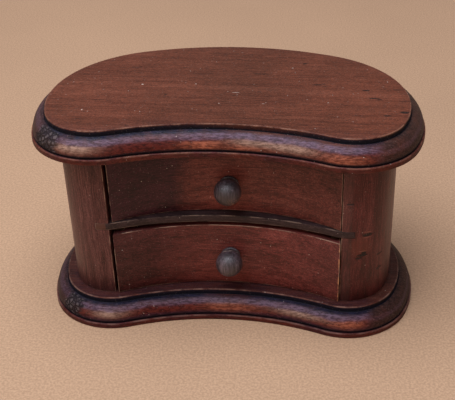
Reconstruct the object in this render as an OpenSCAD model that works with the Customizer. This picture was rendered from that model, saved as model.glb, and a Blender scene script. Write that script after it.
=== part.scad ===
// Table-top kidney chest with two drawers, solid wood, millimetres.
// +X to the right, front faces -Y, +Z up. Origin on the ground, in the middle
// of the bounding rectangle of the base moulding.

/* [Kidney outline] */
// Radius of the broad end arcs
end_r = 89; // [88.5:0.5:90]
// Distance between the centres of the back arc and an end arc
back_step = 116.5; // [115:0.5:118]
// Radius of the two front lobes
lobe_r = 45; // [44.5:0.5:46]

/* [Boards and moulding] */
// Thickness of the top and the base board
board_t = 19; // [18.4:0.2:20]
// Inset of the flat field's edge from the board's edge
field_in = 10.1; // [9.9:0.1:10.4]
// Radius of the ovolo
ovolo_r = 10.6; // [10.4:0.1:10.8]
// Height of the small fillet at the foot of the moulding
fillet_h = 3.8; // [3.4:0.1:4.2]

/* [Carcass] */
// Height of the body between the two boards
body_h = 111; // [111:1:113]
// Inset of the body from the board's edge
body_in = 17; // [16.8:0.1:17.4]
// Width of the drawer opening between the posts
open_w = 155; // [154:0.5:157]
// Height of the divider's underside above the ground
div_z = 70.8; // [70:0.2:72]
// Thickness of the divider
div_t = 5.2; // [4:0.2:6]
// Depth of the housing that takes each end of the divider
housing = 9; // [6:0.5:9]
// Thickness of the curved back
back_t = 12; // [10:0.5:12]

/* [Drawers] */
// Side play at the left of each drawer
play_l = 2.4; // [1.6:0.1:2.4]
// Side play at the right of each drawer
play_r = 0.5; // [0.5:0.1:1.2]
// Height of the lower drawer front
low_h = 47.9; // [46:0.2:48.8]
// Height of the upper drawer front
up_h = 52.6; // [50:0.2:52.8]
// Running clearance under each drawer
play_z = 0.5; // [0.4:0.1:0.8]
// Hollow radius of the lower drawer front
low_r = 172; // [170:1:174]
// Hollow radius of the upper drawer front
up_r = 151.9; // [151.1:0.4:155.1]
// Setback of the lower front at its middle
low_back = 1.3; // [1.1:0.1:1.6]
// Setback of the upper front at its middle
up_back = 6.1; // [5.7:0.1:6.3]
// Thickness of the drawer fronts
front_t = 12; // [11:0.5:13]
// Thickness of the drawer sides and backs
side_t = 6; // [5:0.5:6]
// Thickness of the drawer bottoms
bottom_t = 3; // [2.6:0.2:3.2]

/* [Knobs] */
// Radius of the turned ball
ball_r = 9.1; // [8.5:0.1:9.5]
// Radius of the collar
collar_r = 6.6; // [6.2:0.1:7]
// Distance of the ball's centre from the drawer front
ball_out = 10.8; // [10.4:0.1:11.8]
// Sideways place of both knobs
knob_x = 1.9; // [0:0.1:3]
// Height of the lower knob's axis
low_knob_z = 43.2; // [40:0.2:44]
// Height of the upper knob's axis
up_knob_z = 97.4; // [96:0.2:103]

/* [Hidden] */
$fn = 192;
eps = 0.01;
big = 400;

// The outline is a chain of tangent arcs, mirrored about X = 0: the back arc,
// an end arc, a lobe and the hollow front arc. The arcs hand over along two
// fixed directions with exact decimals (44-117-125 triangle), so every
// handover point is a round number. u points up and right, v is u turned
// clockwise by a right angle.
u = [0.352, 0.936];
v = [0.936, -0.352];
back_r = end_r + back_step;
lobe_step = end_r - lobe_r;
front_r = back_step + lobe_step * 117 / 44 - lobe_r;
e_rel = back_step * u;
l_rel = e_rel + lobe_step * v;
shift_y = -round((back_r + l_rel[1] - lobe_r) * 500) / 1000;
B = [0, shift_y];
E = e_rel + B;
L = l_rel + B;
F = [0, L[1] - (lobe_r + front_r) * u[1]];

top_z = board_t + body_h;
total_h = top_z + board_t;
hx = open_w / 2;
up_z = div_z + div_t;
function flip(p) = [-p[0], p[1]];
function unit(a) = [cos(a), sin(a)];

// Wedges of the plan, one for each arc, bounded by the lines on which the arcs
// hand over. They meet edge to edge and together cover the kidney.
module back_wedge() polygon([E, E + 200 * u, [0, 400], flip(E + 200 * u), flip(E)]);
module end_wedge() polygon([E, E + 200 * u, E + 250 * (u + v), E + 200 * v]);
module lobe_wedge() polygon([L, L + 200 * v, L + 200 * (v - u), L - 200 * u]);
module front_wedge() polygon([E, L, F, flip(L), flip(E)]);

// A plain many-sided middle, 4 mm inside the kidney of the same o, which ties
// the wedges into one piece
function arc_pts(c, r, a0, a1, n) = [for (i = [0 : n]) c + r * unit(a0 + (a1 - a0) * i / n)];
function half_middle(o) = concat(
  arc_pts(F, front_r - o + 4, 90, 72, 2),
  arc_pts(L, lobe_r + o - 4, -108, -24, 3),
  arc_pts(E, end_r + o - 4, -18, 66, 4),
  arc_pts(B, back_r + o - 4, 72, 90, 2));
module middle2d(o) {
  h = half_middle(o);
  polygon(concat(h, [for (i = [len(h) - 2 : -1 : 1]) flip(h[i])]));
}

// A kidney slab of height h, its edge moved outwards by o (negative: inwards)
module kidney(o, h) {
  linear_extrude(h) middle2d(o);
  linear_extrude(h) intersection() {
    back_wedge();
    translate(B) circle(back_r + o);
  }
  for (s = [0, 1]) mirror([s, 0, 0]) {
    linear_extrude(h) intersection() {
      end_wedge();
      translate(E) circle(end_r + o);
    }
    linear_extrude(h) intersection() {
      lobe_wedge();
      translate(L) circle(lobe_r + o);
    }
  }
  linear_extrude(h) difference() {
    front_wedge();
    translate(F) circle(front_r - o);
  }
}

// The same slab without what the curved back takes up
module before_back(o, h) difference() {
  kidney(o, h);
  translate([0, 0, -1]) difference() {
    translate([-big, 0, 0]) cube([2 * big, big, h + 2]);
    translate([0, 0, -1]) kidney(o - back_t, h + 4);
  }
}

// Section of the edge moulding: x is the distance outwards from the board's
// edge, y is the height. Field, step, quirk, ovolo, quirk, fillet.
module moulding2d() {
  r = 0.7;
  difference() {
    union() {
      translate([-26, 0]) square([26 - 1.7, fillet_h + 1.2]);
      translate([-26, 0]) square([26 - r, fillet_h]);
      translate([-26, r]) square([26, fillet_h - 2 * r]);
      translate([-r, r]) circle(r, $fn = 32);
      translate([-r, fillet_h - r]) circle(r, $fn = 32);
      intersection() {
        translate([-ovolo_r - 1.2, fillet_h + 1.2]) circle(ovolo_r);
        translate([-20, fillet_h + 0.6]) square([20, board_t - fillet_h - 0.6]);
      }
      translate([-26, 0]) square([26 - field_in, board_t - r]);
      translate([-26, 0]) square([26 - field_in - r, board_t]);
      translate([-field_in - r, board_t - r]) circle(r, $fn = 32);
    }
    translate([-field_in + 0.25, fillet_h + 1.2 + sqrt(ovolo_r * ovolo_r - pow(ovolo_r + 1.2 - field_in, 2))])
      circle(0.55, $fn = 32);
  }
}

// The moulding turned about one arc's axis and cut to that arc's wedge
module turned(c, r) {
  intersection() {
    translate(c) rotate_extrude() translate([r, 0]) moulding2d();
    translate([0, 0, -1]) linear_extrude(board_t + 2) children();
  }
}

// One board: a plain middle, and the moulding swept round each arc
module board() {
  linear_extrude(board_t) middle2d(-14);
  turned(B, back_r) back_wedge();
  for (s = [0, 1]) mirror([s, 0, 0]) {
    turned(E, end_r) end_wedge();
    turned(L, lobe_r) lobe_wedge();
  }
  intersection() {
    translate(F) rotate_extrude() translate([front_r, 0]) mirror([1, 0]) moulding2d();
    translate([0, 0, -1]) linear_extrude(board_t + 2) front_wedge();
  }
}

// Fixing places in the posts: two dowels above and two screws below each
fix_x = 95;
dowel_y = [-38, 14];
screw_y = [-32, 20];
dowel_r = 3;
dowel_l = 22;
screw_r = 1.9;
screw_head_r = 4;
screw_l = 38;

module at_dowels() for (sx = [-1, 1], y = dowel_y)
  translate([sx * fix_x, y, top_z - dowel_l / 2]) children();
module at_screws() for (sx = [-1, 1], y = screw_y)
  translate([sx * fix_x, y, 0]) children();

module top_board() {
  color("#5a2c1d") difference() {
    translate([0, 0, top_z]) board();
    at_dowels() cylinder(h = dowel_l, r = dowel_r, $fn = 48);
  }
}

module base_board() {
  color("#4a2519") difference() {
    board();
    at_screws() {
      translate([0, 0, -1]) cylinder(h = board_t + 2, r = screw_r, $fn = 48);
      translate([0, 0, 1]) cylinder(h = screw_head_r - screw_r, r1 = screw_head_r, r2 = screw_r, $fn = 48);
      translate([0, 0, -1]) cylinder(h = 2 + eps, r = screw_head_r, $fn = 48);
    }
  }
}

// Solid end block with its grain upright: one side of the kidney, rebated at
// the rear for the curved back and housed for the divider
module post() {
  difference() {
    translate([0, 0, board_t]) intersection() {
      kidney(-body_in, body_h);
      translate([hx, -big, -1]) cube([big, 2 * big, body_h + 2]);
    }
    translate([0, 0, board_t - 1]) difference() {
      translate([hx - 1, 0, 0]) cube([housing + 1, 90, body_h + 2]);
      translate([0, 0, -1]) kidney(-body_in - back_t, body_h + 4);
    }
    translate([hx - 1, -90, div_z]) cube([housing + 1, 180, div_t]);
    at_dowels() cylinder(h = dowel_l, r = dowel_r, $fn = 48);
    translate([0, 0, 1]) at_screws() cylinder(h = screw_l, r = screw_r, $fn = 48);
  }
}
module right_post() { color("#5b3024") post(); }
module left_post() { color("#553026") mirror([1, 0, 0]) post(); }

module back_panel() {
  color("#4c2a20") translate([0, 0, board_t]) intersection() {
    difference() {
      kidney(-body_in, body_h);
      translate([0, 0, -1]) kidney(-body_in - back_t, body_h + 2);
    }
    translate([-hx - housing, 0, -1]) cube([2 * (hx + housing), 90, body_h + 2]);
  }
}

// Shelf between the drawers, housed in both posts, front edge to the outline
module drawer_divider() {
  color("#33241f") translate([0, 0, div_z]) intersection() {
    before_back(-body_in, div_t);
    translate([-hx - housing, -big, -1]) cube([2 * (hx + housing), 2 * big, div_t + 2]);
  }
}

module top_dowels() {
  color("#b08a5a") at_dowels() cylinder(h = dowel_l, r = dowel_r, $fn = 48);
}

// Countersunk wood screw: head flush 1 mm inside the base, cross recess
module base_screws() {
  color("#a08848") at_screws() difference() {
    translate([0, 0, 1]) {
      cylinder(h = screw_head_r - screw_r, r1 = screw_head_r, r2 = screw_r, $fn = 48);
      cylinder(h = screw_l - 5, r = screw_r, $fn = 48);
      translate([0, 0, screw_l - 5]) cylinder(h = 5, r1 = screw_r, r2 = 0.4, $fn = 48);
    }
    translate([-2.4, -0.5, 0]) cube([4.8, 1, 2.2]);
    translate([-0.5, -2.4, 0]) cube([1, 4.8, 2.2]);
  }
}

// Drawers. z0: underside, h: height of the front, fr: hollow radius,
// fy: y of the front's middle, kz: height of the knob's axis
dx0 = -hx + play_l;
dx1 = hx - play_r;
box_back = 28;
rebate = 7;
groove = 3;
bottom_up = 3.2;
side_drop = 3;
low_z0 = board_t + play_z;
up_z0 = up_z + play_z;
front_mid = F[1] + front_r + body_in;
low_fy = front_mid + low_back;
up_fy = front_mid + up_back;
hole_r = 3;

// y of the front's outer face at x
function face_y(x, fr, fy) = fy - fr + sqrt(fr * fr - x * x);
function side_y0(x, fr, fy) = face_y(x, fr, fy) + rebate;

module drawer_front(z0, h, fr, fy, kz) {
  difference() {
    translate([0, 0, z0]) linear_extrude(h) intersection() {
      translate([0, fy - fr]) difference() {
        circle(fr + front_t);
        circle(fr);
      }
      translate([dx0, -90]) square([dx1 - dx0, 90]);
    }
    // rebates for the sides
    translate([dx0 - 1, side_y0(dx0, fr, fy), z0 - 1]) cube([side_t + 1, 40, h + 2]);
    translate([dx1 - side_t, side_y0(dx1, fr, fy), z0 - 1]) cube([side_t + 1, 40, h + 2]);
    // groove for the bottom
    translate([0, fy - fr, z0 + bottom_up]) difference() {
      cylinder(h = bottom_t, r = fr + front_t + 5);
      translate([0, 0, -1]) cylinder(h = bottom_t + 2, r = fr + front_t - groove);
      translate([-big, -big, -1]) cube([big + dx0 + side_t - groove, 2 * big, bottom_t + 2]);
      translate([dx1 - side_t + groove, -big, -1]) cube([big, 2 * big, bottom_t + 2]);
    }
    // hole for the knob's tenon
    translate([knob_x, fy - 10, kz]) rotate([-90, 0, 0]) cylinder(h = 30, r = hole_r, $fn = 48);
  }
}

module drawer_side(z0, h, fr, fy, left) {
  x0 = left ? dx0 : dx1 - side_t;
  y0 = side_y0(left ? dx0 : dx1, fr, fy);
  difference() {
    translate([x0, y0, z0]) cube([side_t, box_back - y0, h - side_drop]);
    translate([left ? x0 + side_t - groove : x0 - 1, y0 - 1, z0 + bottom_up])
      cube([groove + 1, box_back - y0 + 2, bottom_t]);
  }
}

module drawer_back(z0, h) {
  translate([dx0 + side_t, box_back - side_t, z0 + bottom_up + bottom_t])
    cube([dx1 - dx0 - 2 * side_t, side_t, h - side_drop - bottom_up - bottom_t - 3]);
}

module drawer_bottom(z0, fr, fy) {
  translate([0, 0, z0 + bottom_up]) linear_extrude(bottom_t) difference() {
    translate([dx0 + side_t - groove, -80])
      square([dx1 - dx0 - 2 * (side_t - groove), 80 + box_back]);
    translate([0, fy - fr]) circle(fr + front_t - groove + 0.1);
  }
}

// Turned ball knob with a collar, a waist and a tenon through the front
module knob(fy, kz) {
  cr = 1.1;
  translate([knob_x, fy, kz]) rotate([90, 0, 0]) {
    translate([0, 0, ball_out]) sphere(ball_r, $fn = 96);
    cylinder(h = ball_out - 4, r = 4.4, $fn = 64);
    rotate_extrude($fn = 96) {
      square([collar_r - cr, 2 * cr]);
      translate([collar_r - cr, cr]) circle(cr, $fn = 32);
    }
    translate([0, 0, -front_t + 2]) cylinder(h = front_t, r = hole_r, $fn = 48);
  }
}

module upper_drawer_front() { color("#5c2c20") drawer_front(up_z0, up_h, up_r, up_fy, up_knob_z); }
module upper_drawer_left_side() { color("#8a6a48") drawer_side(up_z0, up_h, up_r, up_fy, true); }
module upper_drawer_right_side() { color("#8a6a48") drawer_side(up_z0, up_h, up_r, up_fy, false); }
module upper_drawer_back() { color("#8a6a48") drawer_back(up_z0, up_h); }
module upper_drawer_bottom() { color("#a5845c") drawer_bottom(up_z0, up_r, up_fy); }
module upper_knob() { color("#35302f") knob(up_fy, up_knob_z); }
module lower_drawer_front() { color("#643022") drawer_front(low_z0, low_h, low_r, low_fy, low_knob_z); }
module lower_drawer_left_side() { color("#8a6a48") drawer_side(low_z0, low_h, low_r, low_fy, true); }
module lower_drawer_right_side() { color("#8a6a48") drawer_side(low_z0, low_h, low_r, low_fy, false); }
module lower_drawer_back() { color("#8a6a48") drawer_back(low_z0, low_h); }
module lower_drawer_bottom() { color("#a5845c") drawer_bottom(low_z0, low_r, low_fy); }
module lower_knob() { color("#35302f") knob(low_fy, low_knob_z); }

top_board();
base_board();
left_post();
right_post();
back_panel();
drawer_divider();
top_dowels();
base_screws();
upper_drawer_front();
upper_drawer_left_side();
upper_drawer_right_side();
upper_drawer_back();
upper_drawer_bottom();
upper_knob();
lower_drawer_front();
lower_drawer_left_side();
lower_drawer_right_side();
lower_drawer_back();
lower_drawer_bottom();
lower_knob();
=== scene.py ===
import math

import bmesh
import bpy
import numpy as np
from mathutils import Matrix, Vector, noise


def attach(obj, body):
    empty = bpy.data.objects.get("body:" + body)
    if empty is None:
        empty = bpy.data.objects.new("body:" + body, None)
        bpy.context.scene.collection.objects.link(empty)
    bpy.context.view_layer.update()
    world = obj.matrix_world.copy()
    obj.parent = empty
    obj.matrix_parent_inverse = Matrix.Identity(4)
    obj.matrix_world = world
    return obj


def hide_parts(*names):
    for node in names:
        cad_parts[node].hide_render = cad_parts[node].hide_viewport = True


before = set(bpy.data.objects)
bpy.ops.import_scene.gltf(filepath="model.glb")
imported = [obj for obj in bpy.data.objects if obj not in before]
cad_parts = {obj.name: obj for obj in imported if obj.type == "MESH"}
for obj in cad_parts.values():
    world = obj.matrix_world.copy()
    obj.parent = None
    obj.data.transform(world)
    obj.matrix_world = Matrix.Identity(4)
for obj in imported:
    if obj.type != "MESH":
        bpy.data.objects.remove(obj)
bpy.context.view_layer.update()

MM = 0.001


# ------------------------------------------------------------------ outline
# The kidney plan is a chain of tangent arcs, mirrored about X = 0 (in mm).
A_UP = math.degrees(math.atan2(0.936, 0.352))
A_DN = -math.degrees(math.atan2(0.352, 0.936))
B, E, L, F = (0.0, -127.028), (41.008, -17.984), (82.192, -33.472), (0.0, -252.028)
R_B, R_E, R_L, R_F = 205.5, 89.0, 45.0, 188.5
BOARD_T, TOP_Z = 19.0, 130.0


def flip(p):
    return (-p[0], p[1])


CHAIN = [
    (E, R_E, 1, 0, A_UP, 44),
    (B, R_B, 1, A_UP, 180 - A_UP, 60),
    (flip(E), R_E, 1, 180 - A_UP, 180, 44),
    (flip(E), R_E, 1, 180, 180 - A_DN, 12),
    (flip(L), R_L, 1, 180 - A_DN, 180 - A_DN + 90, 36),
    (F, R_F, -1, 180 - A_UP, A_UP, 52),
    (L, R_L, 1, A_DN - 90, A_DN, 36),
    (E, R_E, 1, A_DN, 0, 12),
]


def chain():
    c, d, r, s = [], [], [], []
    for ctr, rad, sign, a0, a1, n in CHAIN:
        for i in range(n):
            a = math.radians(a0 + (a1 - a0) * i / n)
            c.append(ctr)
            d.append((math.cos(a), math.sin(a)))
            r.append(rad)
            s.append(sign)
    return np.array(c), np.array(d), np.array(r), np.array(s)


CC, DD, RR, SS = chain()
N = len(RR)
HALF = N // 2


def loop(o):
    """The outline moved outwards by o mm."""
    return CC + DD * (RR + SS * o)[:, None]


def arc(c, r, a0, a1, step):
    n = max(2, int(abs(math.radians(a1 - a0)) * r / step))
    return [
        (c[0] + r * math.cos(math.radians(a0 + (a1 - a0) * i / n)), c[1] + r * math.sin(math.radians(a0 + (a1 - a0) * i / n)))
        for i in range(n + 1)
    ]


def smooth(x, a, b):
    t = min(1.0, max(0.0, (x - a) / (b - a)))
    return t * t * (3 - 2 * t)


def nz(x, y, z, k, seed=0.0):
    """Smooth noise, -1..1, of a point in mm at k cycles per mm."""
    return noise.noise(Vector((x * k + seed, y * k - seed, z * k + 0.37 * seed)))


# ------------------------------------------------------------- mesh helpers
def finish_mesh(me, angle=32):
    for p in me.polygons:
        p.use_smooth = True
    me.set_sharp_from_angle(angle=math.radians(angle))
    me.update()


def make(name, me, mat, body, replaces=()):
    o = bpy.data.objects.new(name, me)
    bpy.context.scene.collection.objects.link(o)
    me.materials.clear()
    me.materials.append(mat)
    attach(o, body)
    if replaces:
        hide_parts(*replaces)
    return o


def prism_mesh(name, pts, z0, z1, bevel=0.4, seg=2, sharp=24, rows=1, split=None):
    """An upright block over a plan polygon (mm, counter-clockwise), its arrises rounded."""
    bm = bmesh.new()
    worn = bm.faces.layers.float.new("wear")
    n = len(pts)
    levels = []
    for k in range(rows + 1):
        z = z0 + (z1 - z0) * k / rows
        levels.append([bm.verts.new((x * MM, y * MM, z * MM)) for x, y in pts])
    for k in range(rows):
        lo, hi = levels[k], levels[k + 1]
        for i in range(n):
            j = (i + 1) % n
            bm.faces.new((lo[i], lo[j], hi[j], hi[i]))
    top = bm.faces.new(levels[-1])
    bot = bm.faces.new(levels[0][::-1])
    bm.normal_update()
    edges = set(top.edges) | set(bot.edges)
    for e in bm.edges:
        if len(e.link_faces) == 2 and e.calc_face_angle(0) > math.radians(sharp):
            edges.add(e)
    if bevel:
        made = bmesh.ops.bevel(bm, geom=list(edges), offset=bevel * MM, segments=seg, profile=0.5, affect="EDGES", clamp_overlap=True)
        for f in made["faces"]:
            f[worn] = 1.0
    me = bpy.data.meshes.new(name)
    bm.to_mesh(me)
    bm.free()
    return me


def cutter(me):
    o = bpy.data.objects.new("cutter", me)
    bpy.context.scene.collection.objects.link(o)
    return o


def cut(me, cutters):
    """The mesh less each cutter mesh, as a new mesh."""
    o = bpy.data.objects.new("work", me)
    bpy.context.scene.collection.objects.link(o)
    cs = [cutter(c) for c in cutters]
    for c in cs:
        m = o.modifiers.new("cut", "BOOLEAN")
        m.operation = "DIFFERENCE"
        m.solver = "EXACT"
        m.object = c
    dg = bpy.context.evaluated_depsgraph_get()
    dg.update()
    out = bpy.data.meshes.new_from_object(o.evaluated_get(dg))
    out.name = me.name + "_cut"
    for x in cs + [o]:
        bpy.data.objects.remove(x)
    return out


def rod_mesh(c, axis, r, a, b, n=40):
    """A plain rod along "y" or "z" for cutting."""
    bm = bmesh.new()
    rings = []
    for t in (a, b):
        ring = []
        for i in range(n):
            u, v = r * math.cos(2 * math.pi * i / n), r * math.sin(2 * math.pi * i / n)
            p = (c[0] + u, c[1] + v, t) if axis == "z" else (c[0] + u, t, c[1] + v)
            ring.append(bm.verts.new(tuple(k * MM for k in p)))
        rings.append(ring)
    for i in range(n):
        j = (i + 1) % n
        bm.faces.new((rings[0][i], rings[0][j], rings[1][j], rings[1][i]))
    bm.faces.new(rings[1])
    bm.faces.new(rings[0][::-1])
    bmesh.ops.recalc_face_normals(bm, faces=bm.faces)
    me = bpy.data.meshes.new("rod")
    bm.to_mesh(me)
    bm.free()
    return me


def lathe(name, prof, at, n=72):
    """prof: (distance out along -Y, radius) in mm from the tip of the tenon to the front of the ball."""
    bm = bmesh.new()
    rings = []
    for d, r in prof:
        if r < 1e-6:
            rings.append([bm.verts.new((at[0] * MM, (at[1] - d) * MM, at[2] * MM))])
            continue
        ring = []
        for i in range(n):
            a = 2 * math.pi * i / n
            ring.append(bm.verts.new(((at[0] + r * math.cos(a)) * MM, (at[1] - d) * MM, (at[2] + r * math.sin(a)) * MM)))
        rings.append(ring)
    for p, q in zip(rings, rings[1:]):
        for i in range(n):
            j = (i + 1) % n
            if len(p) == 1:
                bm.faces.new((p[0], q[i], q[j]))
            elif len(q) == 1:
                bm.faces.new((p[i], q[0], p[j]))
            else:
                bm.faces.new((p[i], q[i], q[j], p[j]))
    bmesh.ops.recalc_face_normals(bm, faces=bm.faces)
    me = bpy.data.meshes.new(name)
    bm.to_mesh(me)
    bm.free()
    finish_mesh(me, 38)
    return me


# ------------------------------------------------------------ material graph
class Graph:
    def __init__(self, name):
        self.m = bpy.data.materials.new(name)
        self.m.use_nodes = True
        self.t = self.m.node_tree
        self.t.nodes.clear()
        self.out = self.t.nodes.new("ShaderNodeOutputMaterial")
        self.p = self.t.nodes.new("ShaderNodeBsdfPrincipled")
        self.t.links.new(self.p.outputs[0], self.out.inputs[0])
        self.co = self.t.nodes.new("ShaderNodeTexCoord")

    def put(self, sock, v):
        if isinstance(v, bpy.types.NodeSocket):
            self.t.links.new(v, sock)
        elif sock.type == "RGBA" and len(v) == 3:
            sock.default_value = (*v, 1)
        else:
            sock.default_value = v

    def math(self, op, a, b=0.0, c=None, clamp=False):
        n = self.t.nodes.new("ShaderNodeMath")
        n.operation = op
        n.use_clamp = clamp
        self.put(n.inputs[0], a)
        self.put(n.inputs[1], b)
        if c is not None:
            self.put(n.inputs[2], c)
        return n.outputs[0]

    def vmath(self, op, a, b):
        n = self.t.nodes.new("ShaderNodeVectorMath")
        n.operation = op
        self.put(n.inputs[0], a)
        self.put(n.inputs[1], b)
        return n.outputs[0]

    def mix(self, f, a, b, mode="MIX"):
        n = self.t.nodes.new("ShaderNodeMix")
        n.data_type = "RGBA"
        n.blend_type = mode
        self.put(n.inputs[0], f)
        self.put(n.inputs[6], a)
        self.put(n.inputs[7], b)
        return n.outputs[2]

    def noise(self, vec, scale=1.0, detail=2.0, rough=0.55, dist=0.0):
        n = self.t.nodes.new("ShaderNodeTexNoise")
        self.put(n.inputs["Vector"], vec)
        n.inputs["Scale"].default_value = scale
        n.inputs["Detail"].default_value = detail
        n.inputs["Roughness"].default_value = rough
        n.inputs["Distortion"].default_value = dist
        return n.outputs["Fac"]

    def voronoi(self, vec, scale, feature="F1"):
        n = self.t.nodes.new("ShaderNodeTexVoronoi")
        n.feature = feature
        self.put(n.inputs["Vector"], vec)
        n.inputs["Scale"].default_value = scale
        return n

    def ramp(self, f, stops):
        """stops: (0..1, value) with grey values or colours, eased straight between them."""
        n = self.t.nodes.new("ShaderNodeValToRGB")
        e = n.color_ramp.elements
        while len(e) < len(stops):
            e.new(0.5)
        for el, (x, v) in zip(e, stops):
            el.position = x
            el.color = (v, v, v, 1) if isinstance(v, (int, float)) else (*v, 1)
        self.put(n.inputs[0], f)
        return n.outputs[0]

    def span(self, v, a, b, lo=0.0, hi=1.0, ease=True):
        n = self.t.nodes.new("ShaderNodeMapRange")
        if ease:
            n.interpolation_type = "SMOOTHSTEP"
        self.put(n.inputs["Value"], v)
        n.inputs["From Min"].default_value = a
        n.inputs["From Max"].default_value = b
        n.inputs["To Min"].default_value = lo
        n.inputs["To Max"].default_value = hi
        return n.outputs[0]

    def attr(self, name):
        n = self.t.nodes.new("ShaderNodeAttribute")
        n.attribute_name = name
        return n.outputs["Fac"]

    def xyz(self, v):
        n = self.t.nodes.new("ShaderNodeSeparateXYZ")
        self.put(n.inputs[0], v)
        return n.outputs

    def along(self, axis, lengthwise, across):
        s = [across] * 3
        s["XYZ".index(axis)] = lengthwise
        return tuple(s)


def wood(
    name,
    axis="X",
    dark=(0.045, 0.016, 0.011),
    mid=(0.115, 0.036, 0.022),
    light=(0.19, 0.066, 0.038),
    seed=0.0,
    xramp=None,
    zramp=None,
    end=(0.05, 0.034, 0.027),
    end_amount=0.75,
    rough=0.42,
    coat=0.12,
    coat_rough=0.24,
    specks=0.8,
    tilt=0.0,
    wear_colour=(0.42, 0.27, 0.20),
    wear_amount=0.8,
    contrast=1.0,
    bump=0.6,
    spec=0.30,
    mottle=0.25,
    fine=1.0,
    grit=0.85,
    warp=0.004,
):
    g = Graph(name)
    ob = g.co.outputs["Object"]
    shifted = g.vmath("ADD", ob, (seed * 0.37, seed * 0.73 + 0.5, seed * 0.21))
    if tilt:
        r = g.t.nodes.new("ShaderNodeVectorRotate")
        r.rotation_type = "EULER_XYZ"
        r.inputs["Rotation"].default_value = (tilt * 0.5, tilt, tilt * 0.7) if axis == "X" else (tilt, tilt * 0.6, 0)
        g.put(r.inputs["Vector"], shifted)
        shifted = r.outputs[0]
    # slow waviness of the fibres
    w = g.t.nodes.new("ShaderNodeTexNoise")
    g.put(w.inputs["Vector"], g.vmath("MULTIPLY", shifted, g.along(axis, 9, 24)))
    w.inputs["Detail"].default_value = 1.0
    centred = g.vmath("SUBTRACT", w.outputs["Color"], (0.5, 0.5, 0.5))
    warped = g.vmath("ADD", shifted, g.vmath("MULTIPLY", centred, (warp, warp, warp)))
    fibre = g.noise(g.vmath("MULTIPLY", warped, g.along(axis, 38 * fine, 1050 * fine)), 1, 3, 0.62)
    streak = g.noise(g.vmath("MULTIPLY", warped, g.along(axis, 9, 210)), 1, 3, 0.6)
    figure = g.noise(g.vmath("MULTIPLY", warped, g.along(axis, 3.5, 42)), 1, 2, 0.5)
    grain = g.math("ADD", g.math("MULTIPLY", streak, 0.33), g.math("ADD", g.math("MULTIPLY", fibre, 0.50), g.math("MULTIPLY", figure, 0.17)))
    tone = g.ramp(
        g.span(grain, 0.5 - 0.15 / contrast, 0.5 + 0.15 / contrast, ease=False),
        [(0.0, dark), (0.48, mid), (1.0, light)],
    )
    # dark open pores, short and thin
    pore = g.noise(g.vmath("MULTIPLY", warped, g.along(axis, 160, 1900)), 1, 1, 0.5)
    pores = g.span(pore, 0.64, 0.72)
    tone = g.mix(g.math("MULTIPLY", pores, 0.55), tone, (0.012, 0.006, 0.005))
    # uneven stain
    blot = g.noise(shifted, 34, 3, 0.6)
    tone = g.mix(mottle, tone, g.ramp(blot, [(0.30, 0.30), (0.5, 0.85), (0.75, 1.25)]), "MULTIPLY")
    gr = g.noise(g.vmath("MULTIPLY", shifted, g.along(axis, 900, 1700)), 1, 2, 0.7)
    tone = g.mix(grit, tone, g.ramp(gr, [(0.34, 0.62), (0.5, 0.98), (0.66, 1.50)]), "MULTIPLY")
    px, py, pz = g.xyz(ob)[0:3]
    wob = g.math("MULTIPLY", g.math("SUBTRACT", g.noise(shifted, 26, 3, 0.6), 0.5), 0.03)
    for stops, p in ((xramp, px), (zramp, pz)):
        if stops:
            lo, hi = stops[0][0] * MM, stops[-1][0] * MM
            f = g.span(g.math("ADD", p, wob), lo, hi, ease=False)
            tone = g.mix(1.0, tone, g.ramp(f, [((s[0] * MM - lo) / (hi - lo), s[1]) for s in stops]), "MULTIPLY")
    # end grain drinks more stain
    nx = g.math("ABSOLUTE", g.xyz(g.co.outputs["Normal"])["XYZ".index(axis)])
    ends = g.math("MULTIPLY", g.span(nx, 0.35, 0.98), end_amount)
    endc = g.mix(g.span(g.noise(shifted, 900, 2, 0.5), 0.35, 0.65), tuple(k * 0.5 for k in end), end)
    tone = g.mix(ends, tone, endc)
    return g, tone, dict(ob=ob, shifted=shifted, fibre=fibre, streak=streak, pores=pores, blot=blot, ends=ends, px=px, py=py, pz=pz,
                         rough=rough, coat=coat, coat_rough=coat_rough, specks=specks, wear_colour=wear_colour,
                         wear_amount=wear_amount, bump=bump, spec=spec)


def spots(g, tone, k, items, colour, u="px", v="pz", gate=None, depth=-2.5, ragged=1.6):
    """Small marks: (u, v, half length, half width, strength) in mm, ragged at the edge, sunk a little."""
    rag = g.math("MULTIPLY", g.math("SUBTRACT", g.noise(k["shifted"], 480, 2, 0.6), 0.5), ragged)
    for a, b, sa, sb, amount in items:
        du = g.math("DIVIDE", g.math("SUBTRACT", k[u], a * MM), sa * MM)
        dv = g.math("DIVIDE", g.math("SUBTRACT", k[v], b * MM), sb * MM)
        d = g.math("ADD", g.math("ADD", g.math("MULTIPLY", du, du), g.math("MULTIPLY", dv, dv)), rag)
        spot = g.math("MULTIPLY", g.span(d, 1.25, 0.35), amount)
        if gate is not None:
            spot = g.math("MULTIPLY", spot, gate)
        tone = g.mix(spot, tone, colour)
        if depth:
            k["relief"] = g.math("ADD", k.get("relief", 0.0), g.math("MULTIPLY", spot, depth))
    return tone


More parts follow.
